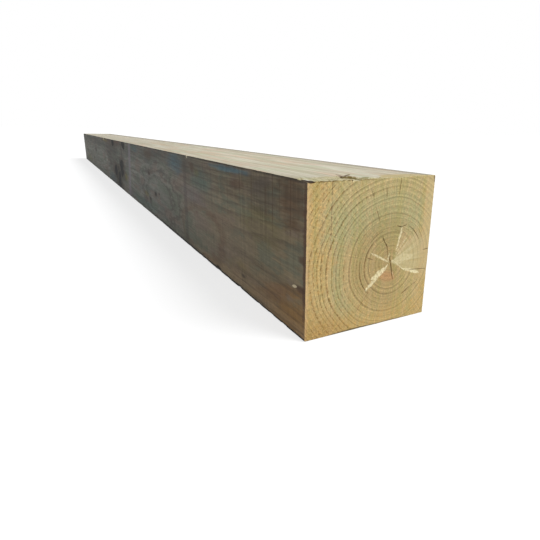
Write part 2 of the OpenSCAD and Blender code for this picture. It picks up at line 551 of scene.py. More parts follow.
class Graph:
    """Short names for the nodes of one material or node group.

    Cycles works nodes out in the order they are made and holds few values at a time, so each
    node is made after those it takes its values from, and nothing clamps."""

    def __init__(self, tree, point=None):
        self.tree = tree
        self.point = point

    def feed(self, socket, value):
        if isinstance(value, bpy.types.NodeSocket):
            self.tree.links.new(value, socket)
        else:
            socket.default_value = value

    def add(self, kind, inputs=(), **settings):
        """Adds a node, feeds its inputs by name or number, and gives its outputs."""
        made = self.tree.nodes.new(kind)
        for name, value in settings.items():
            setattr(made, name, value)
        for name, value in dict(inputs).items():
            self.feed(made.inputs[name], value)
        return made.outputs

    def math(self, operation, *values):
        return self.add("ShaderNodeMath", enumerate(values), operation=operation)[0]

    def sum(self, *values):
        total = values[0]
        for value in values[1:]:
            total = self.math("ADD", total, value)
        return total

    def times(self, *values):
        total = values[0]
        for value in values[1:]:
            total = self.math("MULTIPLY", total, value)
        return total

    def less(self, a, b):
        return self.math("SUBTRACT", a, b)

    def flip(self, value):
        return self.math("SUBTRACT", 1.0, value)

    def off(self, value, place):
        """How far a value lies from a place given in mm."""
        return self.math("ABSOLUTE", self.less(value, place * MM))

    def swing(self, value, size):
        """A noise's swing to each side of its middle, times a size."""
        return self.times(self.less(value, 0.5), size)

    def length(self, a, b):
        return self.math("SQRT", self.sum(self.times(a, a), self.times(b, b)))

    def smooth(self, value, low, high):
        """0 below the low limit, 1 above the high one, and a soft step between them."""
        limits = {"Value": value, "From Min": low, "From Max": high}
        return self.add("ShaderNodeMapRange", limits, interpolation_type="SMOOTHSTEP", clamp=False)[0]

    def fade(self, value, low, high):
        return self.flip(self.smooth(value, low, high))

    def past(self, value, low, high):
        """Soft step from 0 to 1 between two places in mm."""
        return self.smooth(value, low * MM, high * MM)

    def before(self, value, low, high):
        """Soft step from 1 to 0 between two places in mm."""
        return self.fade(value, low * MM, high * MM)

    def noise(self, lump, detail, rough):
        """Noise from 0 to 1, its lumps in mm: along the beam, across it, and up if that differs."""
        scale = [1 / (side * MM) for side in (lump[0], lump[1], lump[-1])]
        scaled = self.add("ShaderNodeMapping", {"Vector": self.point, "Scale": scale}, vector_type="POINT")[0]
        look = {"Vector": scaled, "Scale": 1, "Detail": detail, "Roughness": rough}
        return self.add("ShaderNodeTexNoise", look)["Fac"]

    def line_noise(self, value, lump, detail, rough):
        """Noise from 0 to 1 along one value, whose lumps have the given length."""
        look = {"W": self.math("DIVIDE", value, lump), "Scale": 1, "Detail": detail, "Roughness": rough}
        return self.add("ShaderNodeTexNoise", look, noise_dimensions="1D")["Fac"]

    def mix(self, share, a, b, blend="MIX"):
        """Blend of two colours, each a socket or its 0 to 255 values."""
        inputs = {0: share, 6: linear(a), 7: linear(b)}
        return self.add("ShaderNodeMix", inputs, data_type="RGBA", blend_type=blend)[2]


class Coat:
    """A colour that is painted over and shaded step by step."""

    def __init__(self, g, colour):
        self.g = g
        self.colour = colour

    def paint(self, colour, *shares):
        """Covers it with a colour as far as the product of the shares."""
        self.colour = self.g.mix(self.g.times(*shares), self.colour, colour)

    def shade(self, factor):
        """Multiplies it by a plain number."""
        grey = self.g.add("ShaderNodeCombineColor", [(i, factor) for i in range(3)])[0]
        self.colour = self.g.mix(1.0, self.colour, grey, "MULTIPLY")

    def vary(self, value, low, gain):
        self.shade(self.g.sum(low, self.g.times(value, gain)))

    def darken(self, *shares):
        self.shade(self.g.flip(self.g.times(*shares)))

    def strokes(self, a, b, marks):
        """Paints marks along short lines: two ends and half width in mm, colour, strength."""
        for *line, colour, strength in marks:
            self.paint(colour, stroke(self.g, a, b, *mm(*line)), strength)


def node_group(name, inputs, outputs):
    """Turns a function that makes nodes into one that adds them as a single group node."""
    def wrap(body):
        trees = []

        def call(g, *values):
            if not trees:
                trees.append(group_tree(name, inputs.split(), outputs.split(), body))
            made = g.add("ShaderNodeGroup", enumerate(values), node_tree=trees[0])
            return made if len(made) > 1 else made[0]
        return call
    return wrap


def group_tree(name, inputs, outputs, body):
    tree = bpy.data.node_groups.new(name, "ShaderNodeTree")
    for names, way in ((inputs, "INPUT"), (outputs, "OUTPUT")):
        for item in names:
            tree.interface.new_socket(item, in_out=way, socket_type="NodeSocketFloat")
    g = Graph(tree)
    start = g.add("NodeGroupInput")
    g.add("NodeGroupOutput", enumerate(body(g, *[start[i] for i in range(len(inputs))])))
    return tree


@node_group("stroke", "a b a0 b0 a1 b1 half", "mask")
def stroke(g, a, b, a0, b0, a1, b1, half):
    """Mark along a straight line between two places, a0,b0 and a1,b1, widest in its middle."""
    run_a, run_b = g.less(a1, a0), g.less(b1, b0)
    off_a, off_b = g.less(a, a0), g.less(b, b0)
    square = g.sum(g.times(run_a, run_a), g.times(run_b, run_b))
    part = g.math("DIVIDE", g.sum(g.times(off_a, run_a), g.times(off_b, run_b)), square)
    held = g.math("MINIMUM", g.math("MAXIMUM", part, 0.0), 1.0)
    left_a, left_b = g.less(off_a, g.times(held, run_a)), g.less(off_b, g.times(held, run_b))
    away = g.length(left_a, left_b)
    bow = g.times(held, g.flip(held), 4.0)
    width = g.times(half, g.sum(0.35, g.times(bow, 0.65)))
    return [g.fade(away, g.times(width, 0.5), width)]


@node_group("ring part", "u w r middle span inner outer soft", "mask")
def ring_part(g, u, w, r, middle, span, inner, outer, soft):
    along = g.sum(g.times(u, g.math("COSINE", middle)), g.times(w, g.math("SINE", middle)))
    facing = g.math("DIVIDE", along, g.sum(r, 0.01 * MM))
    edge = g.math("COSINE", span)
    low, high = g.less(edge, g.times(g.flip(edge), 0.5)), g.sum(edge, g.times(g.flip(edge), 0.2))
    within = g.smooth(facing, low, high)
    ring = g.times(g.smooth(r, inner, g.sum(inner, soft)), g.fade(r, g.less(outer, soft), outer))
    return [g.times(within, ring)]


def sector(g, u, w, r, middle, span, *limits):
    """Part of a ring about the pith, its angles in degrees and its radii and soft edge in mm."""
    return ring_part(g, u, w, r, math.radians(middle), math.radians(span), *mm(*limits))


@node_group("knot", "d u w ragged at toward_y toward_z reach radius", "core halo rings")
def knot(g, d, u, w, ragged, at, toward_y, toward_z, reach, radius):
    """A branch that runs out from the pith to one place on the surface."""
    along = g.sum(g.times(u, toward_y), g.times(w, toward_z))
    across = g.less(g.times(w, toward_y), g.times(u, toward_z))
    axial = g.times(g.sum(g.less(d, at), g.times(g.less(reach, along), 0.25)), 0.5)
    grown = g.times(radius, g.math("DIVIDE", along, reach))
    away = g.length(axial, across)
    away = g.math("DIVIDE", away, g.math("MAXIMUM", grown, 0.2 * MM))
    away = g.sum(away, g.swing(ragged, 0.9))
    return [g.fade(away, 0.6, 1.2), g.fade(away, 0.9, 3.0), g.math("SINE", g.times(away, 14.0))]


@node_group("oval", "d z ragged at height half_l half_h lean", "mask")
def oval(g, d, z, ragged, at, height, half_l, half_h, lean):
    """Soft, ragged stain or patch of painted shade, its long axis leaning with the grain."""
    past = g.less(d, at)
    a = g.math("DIVIDE", past, half_l)
    b = g.math("DIVIDE", g.sum(g.less(z, height), g.times(past, lean)), half_h)
    away = g.sum(g.length(a, b), g.swing(ragged, 1.6))
    return [g.fade(away, 0.4, 1.25)]


@node_group("loops", "d z ragged at height half_l half_h count", "inside lines")
def ring_loops(g, d, z, ragged, at, height, half_l, half_h, count):
    """Nested loops of growth rings, as they show where a flat-sawn face runs near a knot."""
    a = g.math("DIVIDE", g.less(d, at), half_l)
    b = g.math("DIVIDE", g.less(z, height), half_h)
    away = g.length(a, b)
    inside = g.fade(away, 0.65, 1.1)
    wave = g.math("SINE", g.times(g.sum(away, g.times(ragged, 0.75)), g.times(count, 2 * math.pi)))
    return [inside, g.times(inside, g.smooth(away, 0.25, 0.5), g.smooth(wave, -0.3, 0.9))]


# Half the width and the height in mm, and how deep the weathered skin of a long face reaches
SIDE = HALF_W / MM
TOP = TOP_Z / MM
SKIN = 3.4

# Pale strips of branches that show in the end, in mm from the pith: two ends, half width
# and how far their colour shows
STREAKS = [
    (-4, 2, -33, 17, 2.0, 0.8),
    (-4, -3, -39, -33, 3.6, 0.95),
    (-10, -6, -30, -19, 3.6, 0.9),
    (9, 16, 17, 48, 2.2, 0.85),
    (22, -11, 54, -22, 2.8, 0.95),
    (38, -17, 53, -21, 3.2, 0.8),
    (8, 0, 26, -14, 1.5, 0.5),
    (4, 1, 38, 5, 8.0, 0.4),
    (16, 8, 40, 17, 3.0, 0.2),
    (6, 8, 26, 32, 1.8, 0.4),
    (10, 8, 30, 27, 1.6, 0.35),
    (-3, 14, -4, 3, 1.5, 0.6),
    (1, -6, 8, -22, 1.0, 0.35),
]

# Stretches of ring that have opened or darkened: first and last angle, radius and half width
DARK_ARCS = [(first, last, radius, 0.8) for first, last, radius in SHAKE_ARCS]
DARK_ARCS += [(140, 176, 43.5, 0.8), (60, 84, 44.5, 0.6), (28, 40, 62.0, 0.6)]

# Short dark cracks and dirty breaks on the end, in mm from the pith: two ends, half width
DARK_STROKES = [
    (7, 50, 16, 47.5, 0.9),
    (16, 47.5, 25, 50.5, 0.9),
    (-17, 37, -11, 29, 0.7),
    (-11, 29, -6, 20, 0.8),
    (-6, 20, -5, 9, 0.7),
    (-3, 9, 0, 0, 0.9),
    (0, 0, 6, -24, 1.0),
    (58, 11.5, 69, 12.3, 1.3),
    (34, -15, 69, -17.5, 0.6),
    (24, -49.5, 38, -40.5, 1.2),
    (38, -41, 52, -34, 0.6),
    (-22, 58, -29, 75, 0.5),
    (-33, 90, -36, 100, 0.5),
    (-14, 88, -15, 101, 0.4),
    (7, 91, 9.2, 113, 0.6),
    (-54, -62, -38, -42, 0.6),
    (-38, -42, -34, -36, 0.5),
    (-40, 12, -30, 8, 0.8),
]

# Knots on the dark side: distance behind the end, height, radius, all in mm, and darkness
KNOTS = [
    (200, 26, 3, 0.5),
    (938, 124, 6, 0.7),
    (860, 72, 6, 0.9),
    (813, 78, 3, 0.8),
    (940, 47, 6, 0.7),
    (1489, 110, 18, 1.0),
    (1493, 78, 15, 1.0),
    (1690, 58, 24, 1.0),
    (1620, 22, 24, 1.0),
    (1613, 57, 14, 1.0),
    (1551, 104, 15, 1.0),
    (1622, 83, 9, 0.9),
    (1893, 91, 9, 0.6),
    (1400, 191, 7, 0.8),
    (2620, 120, 12, 0.9),
    (2790, 60, 9, 0.9),
    (3300, 90, 11, 0.9),
]

# Breaks in the far knots on the dark side, in mm: two ends (behind the end, height), half width
# across the grain, and how far they show. Along the grain they are wider by BREAK_RUN.
BREAK_RUN = 7.0
BREAKS = [
    (1700, 92, 1728, 46, 8.5, 1.0),
    (1512, 124, 1536, 56, 7.0, 0.95),
    (1586, 74, 1640, 0, 6.5, 1.0),
    (1748, 204, 1754, 172, 7.5, 1.0),
    (1450, 200, 1424, 172, 6.5, 0.95),
]

# Pale chips in the dark side and its upper arris, in mm: two ends (behind the end, height),
# half width, colour, strength
CHIPS = [
    (33, 64.5, 22, 66.5, 2.6, (218, 202, 168), 0.85),
    (507, 200, 504, 195, 4, (226, 218, 190), 0.9),
    (2123, 200, 2120, 192, 12, (226, 218, 190), 0.9),
]

# Dark upright lines on the dark side: distance behind the end and half width in mm, strength
DARK_LINES = [(40, 3, 0.42), (91, 2, 0.5), (112, 5, 0.3), (161, 2.5, 0.3), (262, 2, 0.2)]

# Loops of rings on the dark side: distance behind the end, height, half length and half height
# in mm, how many loops, how far they show, and their colour
LOOPS = [
    (830, 70, 330, 110, 4.0, 0.42, (64, 58, 52)),
    (420, 52, 210, 78, 2.2, 0.34, (98, 70, 52)),
]

# Stains and patches of painted shade (SHADE) on the dark side: distance behind the end, height, half length
# and half height in mm,
# lean in mm down per mm away from the end, colour, and how far it shows
BLUE = (82, 106, 114)
TEAL = (86, 108, 102)
RUST = (130, 92, 52)
UMBER = (84, 62, 48)
OLIVE = (110, 104, 62)
MAUVE = (116, 104, 108)
# SHADE: painted shade for the shaded patches of the side
SHADE = (58, 56, 50)
GOLD = (146, 110, 64)
STAINS_AND_SHADE = [
    (264, 192, 95, 6, 0, BLUE, 0.85),
    (415, 155, 84, 26, 0, TEAL, 0.42),
    (600, 176, 60, 26, 0, BLUE, 0.6),
    (650, 180, 50, 22, 0, BLUE, 0.45),
    (1180, 188, 90, 14, 0, TEAL, 0.6),
    (1150, 182, 60, 8, 0, BLUE, 0.5),
    (222, 172, 36, 9, 0.08, UMBER, 0.6),
    (470, 178, 20, 12, 0, UMBER, 0.6),
    (440, 170, 20, 10, 0, OLIVE, 0.4),
    (40, 172, 40, 40, 0, (90, 62, 42), 0.6),
    (120, 168, 60, 30, 0, SHADE, 0.45),
    (70, 46, 62, 11, 0.25, RUST, 0.5),
    (20, 18, 90, 36, 0.2, GOLD, 0.75),
    (120, 24, 60, 12, 0.25, RUST, 0.4),
    (12, 66, 14, 5, 0, UMBER, 0.8),
    (8, 104, 12, 6, 0, UMBER, 0.7),
    (3, 110, 5, 100, 0, UMBER, 0.85),
    (205, 40, 20, 9, 0, OLIVE, 0.5),
    (130, 120, 80, 30, 0, OLIVE, 0.35),
    (300, 100, 70, 14, 0, (122, 98, 84), 0.4),
    (1418, 67, 50, 18, 0, OLIVE, 0.8),
    (1000, 56, 38, 9, 0, OLIVE, 0.6),
    (2070, 190, 140, 8, 0, (124, 112, 72), 0.8),
    (1738, 191, 40, 9, 0, SHADE, 0.85),
    (1640, 194, 130, 6, 0, UMBER, 0.6),
    (1600, 20, 100, 22, 0, SHADE, 0.6),
    (1590, 60, 190, 66, 0, SHADE, 0.45),
    (1640, 40, 60, 30, 0, SHADE, 0.4),
    (1960, 130, 120, 40, 0, SHADE, 0.3),
    (1728, 187, 26, 12, 0, (40, 36, 32), 0.9),
    (1404, 193, 16, 8, 0, (44, 38, 32), 0.9),
    (1551, 106, 26, 20, 0, (22, 20, 18), 0.95),
    (1680, 56, 34, 24, 0, (22, 20, 18), 0.9),
    (1500, 86, 26, 20, 0, (26, 24, 21), 0.85),
    (1616, 16, 34, 22, 0, (22, 20, 18), 0.9),
    (1490, 160, 18, 46, 0, SHADE, 0.5),
    (1640, 92, 110, 10, 0.05, UMBER, 0.5),
    (480, 120, 90, 22, 0, MAUVE, 0.4),
    (1790, 125, 200, 130, 0, SHADE, 0.55),
    (1800, 192, 430, 24, 0, UMBER, 0.3),
    (2110, 20, 120, 40, 0, SHADE, 0.25),
    (1000, 182, 440, 28, 0, SHADE, 0.30),
    (500, 185, 130, 22, 0, SHADE, 0.22),
    (270, 76, 110, 30, 0, (134, 120, 100), 0.5),
    (190, 30, 120, 24, 0.1, (142, 122, 96), 0.45),
    (200, 9, 250, 15, 0, (180, 156, 124), 0.42),
    (2060, 150, 130, 50, 0, SHADE, 0.18),
    (935, 180, 70, 18, 0, UMBER, 0.45),
    (1300, 20, 50, 14, 0, MAUVE, 0.6),
    (1050, 18, 260, 16, 0, TEAL, 0.45),
    (1850, 20, 160, 26, 0, (84, 98, 104), 0.5),
    (2700, 100, 500, 90, 0, (104, 106, 98), 0.3),
    (3150, 40, 200, 30, 0, OLIVE, 0.3),
    (2500, 170, 200, 20, 0, SHADE, 0.35),
    # painted shadow in the two wane scoops
    (322, 3, 19, 7, 0, (26, 22, 18), 1.0),
    (218, 1, 16, 6, 0, (30, 26, 21), 1.0),
]


def ring_fields(g, x, y, z):
    """Distance behind the end, place across and up from the pith, and the ring count."""
    d = g.less(END_X, x)
    pith_y = g.sum(PITH_Y, g.times(g.math("SINE", g.times(d, SWAY_RATE_Y)), SWAY_Y))
    pith_z = g.sum(PITH_Z, g.times(g.math("SINE", g.times(d, SWAY_RATE_Z)), SWAY_Z))
    u, w = g.less(y, pith_y), g.less(z, pith_z)
    r = g.length(u, w)
    bent = g.sum(r, g.times(d, RING_TAPER))
    for rate_u, rate_w, size in RING_WAVES:
        wave = g.math("SINE", g.sum(g.times(u, rate_u), g.times(w, rate_w)))
        bent = g.sum(bent, g.times(wave, size))
    ragged = g.noise((60, 7), 4, 0.65)
    bent = g.sum(bent, g.swing(ragged, 2.4 * MM))
    swing = g.math("SINE", g.times(bent, RING_SWING_RATE))
    return d, u, w, r, g.sum(bent, g.times(swing, RING_SWING))


def end_tint(g, coat, late, y, z, u, r, cloud):
    """Treatment's gold near the -Y, +Y and lower faces, its green between, and browner heart."""
    from_left = g.sum(y, HALF_W)
    from_right = g.less(HALF_W, y)
    wander = g.swing(cloud, 90 * MM)
    gold = g.math("MAXIMUM", g.before(g.sum(from_left, wander), 14, 44),
                  g.before(g.sum(from_right, g.times(wander, 0.4)), 8, 20))
    gold = g.math("MAXIMUM", gold, g.before(g.sum(z, wander), 12, 38))
    green = g.times(g.flip(gold), g.past(g.sum(z, wander), 88, 140))
    green = g.times(green, g.flip(g.times(g.past(z, 150, 185), 0.6)))
    ring_band = g.times(g.past(r, 74, 84), g.before(r, 92, 104), 0.8)
    green = g.math("MAXIMUM", green, g.times(ring_band, g.flip(gold)))
    coat.paint(g.mix(late, (168, 167, 122), (112, 112, 70)), green, 0.75)
    coat.paint(g.mix(late, (199, 168, 106), (146, 108, 52)), gold, 0.55)
    heart = g.times(g.before(r, 40, 96), g.before(u, 0, 40))
    coat.paint(g.mix(late, (166, 144, 95), (128, 100, 58)), heart, 0.65)
    return gold


def end_colour(g, y, z, u, w, r, bent, late, ring_tone):
    """Sawn end grain: rings, rays, pale branches, checks and the treatment's colours."""
    cloud = g.noise((30, 30), 3, 0.6)
    blotch = g.noise((30, 5), 3, 0.65)
    speck = g.noise((30, 2.4), 3, 0.8)
    broken = g.noise((30, 4), 3, 0.7)
    # the rings show best on the -Y side of the heart
    clear = g.sum(0.50, g.times(g.before(u, -60, 5), 0.5))
    ring_strength = g.sum(0.12, g.times(ring_tone, 0.55), g.swing(broken, 2.6))
    shown = g.math("MAXIMUM", g.times(late, ring_strength, clear), 0.0)
    coat = Coat(g, g.mix(shown, (194, 172, 120), (120, 96, 52)))
    gold = end_tint(g, coat, shown, y, z, u, r, cloud)
    # dashes of late wood and pale flecks, clearest on the -Y side
    coat.paint((128, 92, 42), late, g.smooth(broken, 0.46, 0.60), g.before(y, -70, -20), 0.7)
    coat.paint((218, 190, 132), g.fade(broken, 0.36, 0.46), g.before(y, -80, -30), 0.5)
    coat.paint((204, 166, 112), g.smooth(blotch, 0.52, 0.64), 0.35)
    coat.paint((148, 142, 96), g.fade(blotch, 0.36, 0.48), 0.35)
    coat.paint((196, 156, 82), gold, g.smooth(blotch, 0.50, 0.62), 0.35)
    stripe = g.noise((1000, 7, 140), 2, 0.6)
    coat.paint((202, 172, 130), g.smooth(stripe, 0.5, 0.62), 0.22)
    coat.paint((166, 156, 92), g.fade(stripe, 0.38, 0.5), 0.3)
    coat.paint((196, 142, 98), sector(g, u, w, r, 255, 38, 8, 30, 8), 0.5)
    # rays out from the pith, faint upright saw marks and specks
    turn = g.math("ARCTAN2", w, u)
    rays = g.line_noise(turn, 0.032, 3.0, 0.7)
    fine_rings = g.line_noise(bent, 2.6 * MM, 2.0, 0.8)
    fine_rings = g.times(g.less(fine_rings, 0.5), g.smooth(speck, 0.35, 0.6), 1.1)
    coat.shade(g.sum(1.0, fine_rings))
    upright = g.noise((1000, 1.7, 40), 2, 0.6)
    coat.vary(rays, 0.74, 0.52)
    coat.vary(upright, 0.86, 0.28)
    coat.vary(speck, 0.54, 0.92)
    for place, height, strength in ((-65.5, 128, 0.42), (-78, 60, 0.25), (-88, 90, 0.15)):
        line = g.times(g.before(g.off(y, place), 0.3, 1.1), g.past(z, height - 30, height))
        coat.darken(line, g.smooth(broken, 0.3, 0.55), strength)
    end_branches(g, coat, u, w, r, turn, blotch)
    end_edges(g, coat, y, z, broken, speck)
    return coat.colour


def end_branches(g, coat, u, w, r, turn, blotch):
    """Pale branches out from the pith, and the dark cracks over them."""
    wobble = g.swing(blotch, 4.5 * MM)
    wob_u, wob_w = g.sum(u, wobble), g.less(w, wobble)
    fleck = g.smooth(g.noise((30, 3), 3, 0.7), 0.4, 0.56)
    fan_rays = g.line_noise(turn, 0.10, 3.0, 0.7)
    fan = sector(g, wob_u, wob_w, r, 9, 29, -14, 62, 18)
    coat.paint((194, 180, 132), fan, 0.45)
    coat.paint((214, 202, 158), fan, g.smooth(fan_rays, 0.36, 0.68), 0.5)
    blush = sector(g, wob_u, wob_w, r, 50, 18, 12, 52, 10)
    coat.paint((208, 176, 132), blush, g.smooth(fan_rays, 0.40, 0.60), 0.55)
    coat.paint((212, 186, 146), sector(g, u, w, r, 24, 16, 46, 66, 8), 0.25)
    for *line, strength in STREAKS:
        mask = stroke(g, wob_u, wob_w, *mm(*line))
        coat.paint((240, 228, 184), mask, strength, g.sum(0.35, g.times(fleck, 0.65)))
    crack = (104, 70, 36)
    shift_u, shift_w = g.sum(u, g.times(wobble, 0.4)), g.less(w, g.times(wobble, 0.4))
    coat.strokes(shift_u, shift_w, [(*line, crack, 0.65) for line in DARK_STROKES])
    for first, last, radius, half in DARK_ARCS:
        uneven = g.sum(r, g.times(wobble, 0.3))
        angles = (first + last) / 2, (last - first) / 2
        mask = sector(g, u, w, uneven, *angles, radius - half, radius + half, 0.8 * half)
        coat.paint(crack, mask, 0.5)


def end_edges(g, coat, y, z, broken, speck):
    """Dirt and painted shade under the torn edge, the paler arris, and the splinter that hangs over the end,
    with painted shadow and shade among its marks.
    """
    # dirt and painted shade under the torn top edge
    edge_dirt_and_shade = g.times(g.past(z, TOP - 3.4, TOP - 1.6), g.before(y, -30, 30))
    coat.paint((110, 90, 44), edge_dirt_and_shade, g.smooth(broken, 0.30, 0.48), 0.85)
    arris = g.before(y, 1.5 - SIDE, 4.5 - SIDE)
    coat.paint((222, 186, 142), arris, g.smooth(broken, 0.3, 0.6), 0.6)
    coat.paint((206, 188, 146), g.past(y, 78, 94), g.past(z, 45, 75), 0.5)
    coat.paint((172, 138, 82), g.before(z, 10, 60), g.before(y, -80, -10), 0.4)
    foot = g.times(g.before(z, 6, 30), g.before(y, -80, 10))
    coat.paint((132, 92, 42), foot, g.smooth(speck, 0.48, 0.58), 0.55)
    coat.paint((226, 184, 108), foot, g.fade(speck, 0.38, 0.48), 0.5)
    coat.vary(g.past(z, 90, 190), 0.975, 0.04)
    coat.strokes(y, z, END_MARKS)


# Marks near the end's top edge and along its foot, painted shadow and shade among them, in mm: two ends
# (across, up), half width, colour, strength
# dark brown for dirt and painted shade at the end's top edge
DIRT_AND_SHADE = (70, 52, 26)
END_MARKS = [
    (-36.4, 197.8, -36, 196, 1.0, (240, 224, 176), 0.9),
    # painted shadow of the hanging splinter, beside its pale tip
    (-38, 199.6, -36.8, 197.6, 1.9, (64, 48, 12), 0.95),
    (-56, 199, -51, 198.4, 1.4, (136, 124, 84), 0.6),
    # painted shade in the torn -Y corner's hollow
    (-102, 200, -90, 198.4, 3.2, (44, 28, 8), 1.0),
    # dirt and painted shade under the torn top edge
    (-80, 198.5, -62, 198.5, 1.2, DIRT_AND_SHADE, 0.4),
    # painted shade in the +Y top corner
    (97, 200, 100, 190, 2.0, DIRT_AND_SHADE, 0.6),
    # painted contact shadow along the end's foot
    (-66, 0, 14, 0, 3.4, (84, 74, 50), 0.85),
    (-4, 0, 70, 0, 2.6, (96, 80, 50), 0.7),
]

# Marks on the top face near the end, among them painted shade and a painted highlight, in mm: two ends
# (behind the end, across), half width,
# colour, strength
TOP_MARKS = [
    # The splinter's dark V and blob and the olive patches below them: partly the torn wood's darker colour,
    # partly painted shade in its hollow
    (52, -27, 28, -33, 2.8, (132, 112, 90), 0.85),
    (28, -30, 48, -8, 3.4, (104, 86, 62), 0.9),
    (32, -30, 18, -39, 6.5, (58, 40, 14), 1.0),
    (28, -23, 18, -28, 4.4, (116, 100, 48), 0.95),
    (22, -20, 8, -27, 2.2, (124, 106, 56), 0.8),
    (6, -22, 8, -9, 6.0, (134, 124, 76), 0.8),
    (14, -66, 2, -60, 6.0, (126, 118, 76), 0.8),
    # painted highlight beside the torn -Y corner
    (24, -91, 9, -88, 3.6, (210, 210, 196), 0.8),
    # painted shade in the torn -Y corner's hollow
    (19, -96, -6, -94, 7.0, (42, 27, 8), 1.0),
    (60, -14, 40, -4, 1.6, (214, 190, 128), 0.6),
    (1260, -21, 1040, -11, 8.0, (206, 172, 124), 0.5),
    (650, -48, 520, -34, 6.0, (186, 156, 118), 0.5),
    (410, 28, 310, 42, 4.0, (190, 158, 112), 0.5),
]


def top_colour(g, d, y, late, end):
    """Dry, bleached top, its skin torn off behind the end."""
    long_tone = g.noise((350, 9), 4, 0.7)
    fibre = g.noise((50, 2.6), 4, 0.75)
    tint = g.noise((160, 22), 3, 0.6)
    coat = Coat(g, g.mix(g.smooth(long_tone, 0.38, 0.62), (180, 171, 146), (212, 206, 188)))
    coat.paint((204, 178, 152), g.smooth(tint, 0.50, 0.62), 0.6)
    coat.paint((186, 190, 160), g.fade(tint, 0.36, 0.48), 0.6)
    coat.paint((190, 186, 172), g.smooth(d, 0.5, 1.8), 0.35)
    coat.paint((160, 142, 110), late, 0.25)
    coat.vary(fibre, 0.73, 0.52)
    coat.darken(g.past(y, 10, 70), 0.05)
    coat.vary(g.smooth(d, 0.3, 0.8), 1.01, -0.045)
    coat.darken(g.fade(d, 0.7, 1.1), g.before(y, -90, -30), 0.055)
    coat.darken(g.smooth(d, 0.5, 1.2), g.before(y, -40, 50), 0.09)
    # greyer along the +Y arris
    rim = g.past(g.sum(y, g.times(d, 9 * MM)), SIDE - 21, SIDE - 10)
    coat.paint((134, 126, 112), rim, 0.7)
    # end grain's colour, soaked back into the top behind the end
    soak = g.before(g.off(y, 50), 20, 50)
    soak = g.fade(d, g.times(soak, 18 * MM), g.sum(g.times(soak, 34 * MM), 1 * MM))
    coat.paint(g.mix(0.35, (186, 169, 122), end), soak, 0.85)
    # fresh fibres where the skin has torn off
    ragged = g.noise((30, 2.2), 3, 0.7)
    wide = g.times(g.before(y, *TORN_WIDE_FADE), TORN_WIDE * MM)
    narrow = g.times(g.before(y, *TORN_NARROW_FADE), TORN_NARROW * MM)
    reach = g.times(g.sum(wide, narrow), g.sum(0.3, g.times(ragged, 1.4)))
    torn = g.fade(d, g.times(reach, 0.85), g.sum(reach, 0.5 * MM))
    lint = g.noise((9, 1), 3, 0.7)
    pits = g.noise((2.2, 2.2), 2, 0.7)
    fresh = Coat(g, g.mix(g.smooth(lint, 0.36, 0.62), (150, 138, 88), (214, 206, 166)))
    fresh.paint((112, 98, 58), g.fade(pits, 0.34, 0.46), 0.6)
    coat.paint(fresh.colour, torn, g.smooth(ragged, 0.28, 0.52), 0.85)
    slip = g.swing(ragged, 2.5 * MM)
    coat.strokes(g.sum(d, slip), g.sum(y, slip), TOP_MARKS)
    # chips in the -Y arris show clean wood
    for at in (504, 2120):
        chip = g.before(g.off(d, at), 3, 9)
        coat.paint((236, 228, 196), chip, g.before(y, 3 - SIDE, 9 - SIDE), 0.9)
    return coat.colour


def plain_side_colour(g, late, saw):
    """Sides that dried in the stack: treated yellow-grey wood with clear grain."""
    long_tone = g.noise((400, 20), 3, 0.6)
    fibre = g.noise((50, 1.3), 3, 0.7)
    patch = g.noise((160, 50), 2, 0.5)
    coat = Coat(g, g.mix(g.smooth(long_tone, 0.3, 0.7), (158, 148, 112), (180, 167, 128)))
    coat.paint((142, 142, 112), g.smooth(patch, 0.5, 0.7), 0.6)
    coat.paint((126, 106, 70), late, 0.4)
    coat.vary(saw, 0.88, 0.20)
    coat.vary(fibre, 0.82, 0.34)
    return coat.colour


def slanted_line(g, d, z, at_top, at_bottom, half):
    """Band across the dark side, from one place at the top to another at the bottom, in mm."""
    middle = g.sum(at_bottom * MM, g.times(z, (at_top - at_bottom) / TOP))
    away = g.math("ABSOLUTE", g.less(d, middle))
    return g.before(away, 0.4 * half, half)


